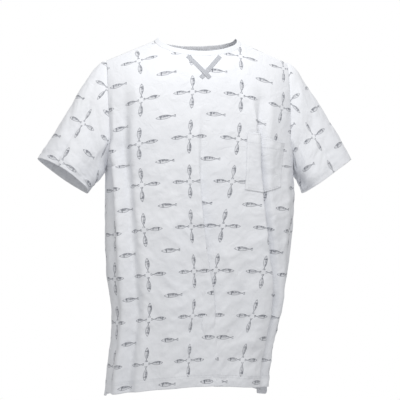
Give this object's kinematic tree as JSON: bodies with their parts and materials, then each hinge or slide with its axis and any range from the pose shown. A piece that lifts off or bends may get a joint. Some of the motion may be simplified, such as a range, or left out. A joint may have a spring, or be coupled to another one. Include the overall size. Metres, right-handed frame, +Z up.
{
  "type": "patient gown",
  "caption": "Short-sleeved, hip-length patient gown with a neckband, crossed neck tapes, a chest pocket and a back opening closed by press studs.",
  "frame": {"origin": "middle of the neck opening, level with the inner ends of the shoulder seams, where the wearer's shoulders hold the gown", "axes": "+Z up, the front faces -Y, +X towards the wearer's left"},
  "size_m": [0.6924, 0.1967, 0.7783],
  "materials": {
    "printed_cotton": "matt white cotton with a grey print",
    "plain_cotton": "matt white cotton",
    "grey_tape": "matt grey herringbone tape",
    "stud_plastic": "smooth white",
    "stud_metal": "plated, satin"
  },
  "bodies": {
    "gown_body": {"front_panel": "printed_cotton", "back_panel_right": "printed_cotton", "back_panel_left": "printed_cotton", "neckband_front": "plain_cotton", "neck_tape_under": "grey_tape", "neck_tape_over": "grey_tape", "chest_pocket": "plain_cotton"},
    "right_sleeve": {"sleeve_right": "printed_cotton"},
    "left_sleeve": {"sleeve_left": "printed_cotton"},
    "right_back_flap": {"back_flap_right_over": "printed_cotton", "neckband_back_right": "plain_cotton", "stud_cap_1": "stud_plastic", "stud_cap_2": "stud_plastic", "stud_cap_3": "stud_plastic", "stud_cap_4": "stud_plastic", "socket_1": "stud_metal", "socket_2": "stud_metal", "socket_3": "stud_metal", "socket_4": "stud_metal"},
    "left_back_flap": {"back_flap_left_under": "printed_cotton", "neckband_back_left": "plain_cotton", "stud_1": "stud_metal", "stud_2": "stud_metal", "stud_3": "stud_metal", "stud_4": "stud_metal", "stud_post_1": "stud_plastic", "stud_post_2": "stud_plastic", "stud_post_3": "stud_plastic", "stud_post_4": "stud_plastic"}
  },
  "joints": [
    {"name": "right_sleeve_lift", "type": "hinge", "parent": "gown_body", "child": "right_sleeve", "pos_m": [-0.2006, 0, -0.0436], "axis": [0, 1, 0], "range_deg": [0, 40]},
    {"name": "left_sleeve_lift", "type": "hinge", "parent": "gown_body", "child": "left_sleeve", "pos_m": [0.2006, 0, -0.0436], "axis": [0, -1, 0], "range_deg": [0, 40]},
    {"name": "right_back_flap_open", "type": "hinge", "parent": "gown_body", "child": "right_back_flap", "pos_m": [-0.08, 0.0825, -0.38], "axis": [0, 0, 1], "range_deg": [0, 110]},
    {"name": "left_back_flap_open", "type": "hinge", "parent": "gown_body", "child": "left_back_flap", "pos_m": [0.08, 0.0825, -0.38], "axis": [0, 0, -1], "range_deg": [0, 50]}
  ],
  "couplings": [
    {"joint": "left_back_flap_open", "follows": "right_back_flap_open", "ratio": 0.45}
  ]
}
